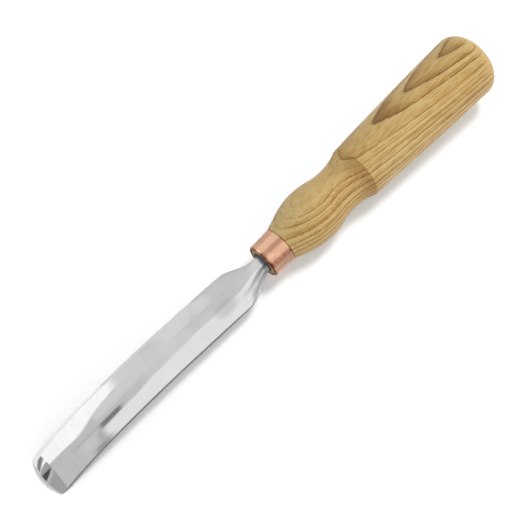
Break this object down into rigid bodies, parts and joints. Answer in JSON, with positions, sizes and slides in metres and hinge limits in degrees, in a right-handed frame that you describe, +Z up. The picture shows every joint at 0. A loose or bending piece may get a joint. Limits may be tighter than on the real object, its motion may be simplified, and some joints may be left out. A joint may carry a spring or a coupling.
{
  "type": "bent gouge",
  "caption": "Bent carving gouge: a curved steel blade with a shallow channel and ground bevel, held by a copper ferrule in a turned ash handle.",
  "frame": {"origin": "middle of the tool's length and width, on the surface that it lies on", "axes": "+X along the tool from the cutting edge to the butt, +Z up from the surface with the blade's back uppermost"},
  "size_m": [0.286, 0.0348, 0.0373],
  "materials": {
    "steel": "forged tool steel, ground and buffed bright",
    "copper": "copper tube, satin from drawing and handling",
    "ash": "turned ash, sanded and oiled",
    "glue": "dark cured epoxy"
  },
  "bodies": {
    "root": {"blade": "steel", "ferrule": "copper", "handle": "ash", "tang_glue": "glue"}
  },
  "joints": []
}
